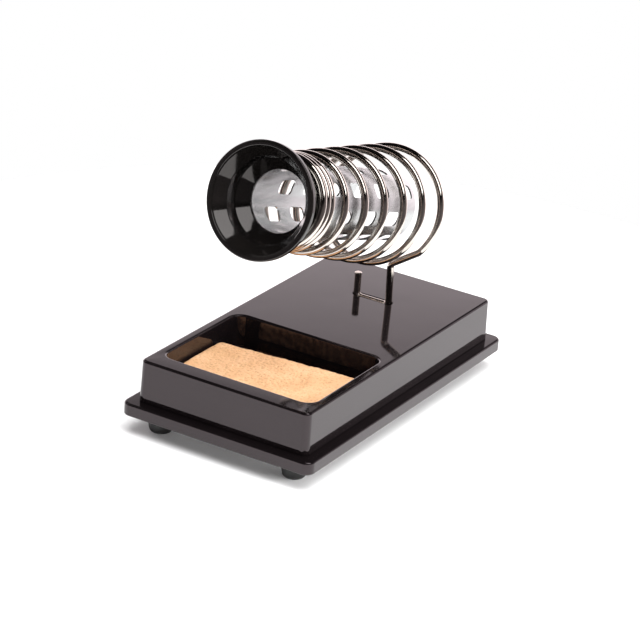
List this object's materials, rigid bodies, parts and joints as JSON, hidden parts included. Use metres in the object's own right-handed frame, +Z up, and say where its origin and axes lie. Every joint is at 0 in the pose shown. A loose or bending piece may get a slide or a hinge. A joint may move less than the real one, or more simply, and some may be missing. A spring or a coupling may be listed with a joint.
{
  "type": "soldering iron stand",
  "caption": "Weighted desk stand for a hot soldering iron: a coiled wire holder with a black mouthpiece and heat tube, over a base with a sponge well.",
  "frame": {"origin": "under the middle of the base, on the surface that the feet rest on", "axes": "+Z up, -Y towards the sponge and the mouth, +X towards the side of the wire's long leg"},
  "size_m": [0.0986, 0.1762, 0.1399],
  "materials": {
    "gloss_black_plastic": "gloss",
    "black_phenolic": "gloss",
    "black_rubber": "matt",
    "sponge": "open-pored cellulose",
    "nickel_wire": "bright nickel plate",
    "bright_steel": "bright sheet",
    "zinc_steel": "zinc plate",
    "ballast_steel": "mill"
  },
  "bodies": {
    "base": {"base_housing": "gloss_black_plastic", "base_plate": "gloss_black_plastic", "ballast_plate": "ballast_steel", "ballast_screw_front": "zinc_steel", "ballast_screw_back": "zinc_steel", "foot_front_left": "black_rubber", "foot_front_right": "black_rubber", "foot_back_left": "black_rubber", "foot_back_right": "black_rubber", "foot_washer_front_left": "zinc_steel", "foot_washer_front_right": "zinc_steel", "foot_washer_back_left": "zinc_steel", "foot_washer_back_right": "zinc_steel", "foot_screw_front_left": "zinc_steel", "foot_screw_front_right": "zinc_steel", "foot_screw_back_left": "zinc_steel", "foot_screw_back_right": "zinc_steel", "wire_socket": "zinc_steel", "socket_screw_left": "zinc_steel", "socket_screw_right": "zinc_steel"},
    "sponge": {"sponge": "sponge"},
    "holder": {"coil_wire": "nickel_wire", "heat_tube": "bright_steel", "neck_sleeve": "bright_steel", "mouthpiece": "black_phenolic"}
  },
  "joints": [
    {"name": "sponge_lift", "type": "slide", "parent": "base", "child": "sponge", "axis": [0, 0, 1], "range_m": [0, 0.03]},
    {"name": "holder_lift", "type": "slide", "parent": "base", "child": "holder", "axis": [0, 0, 1], "range_m": [0, 0.025]}
  ]
}
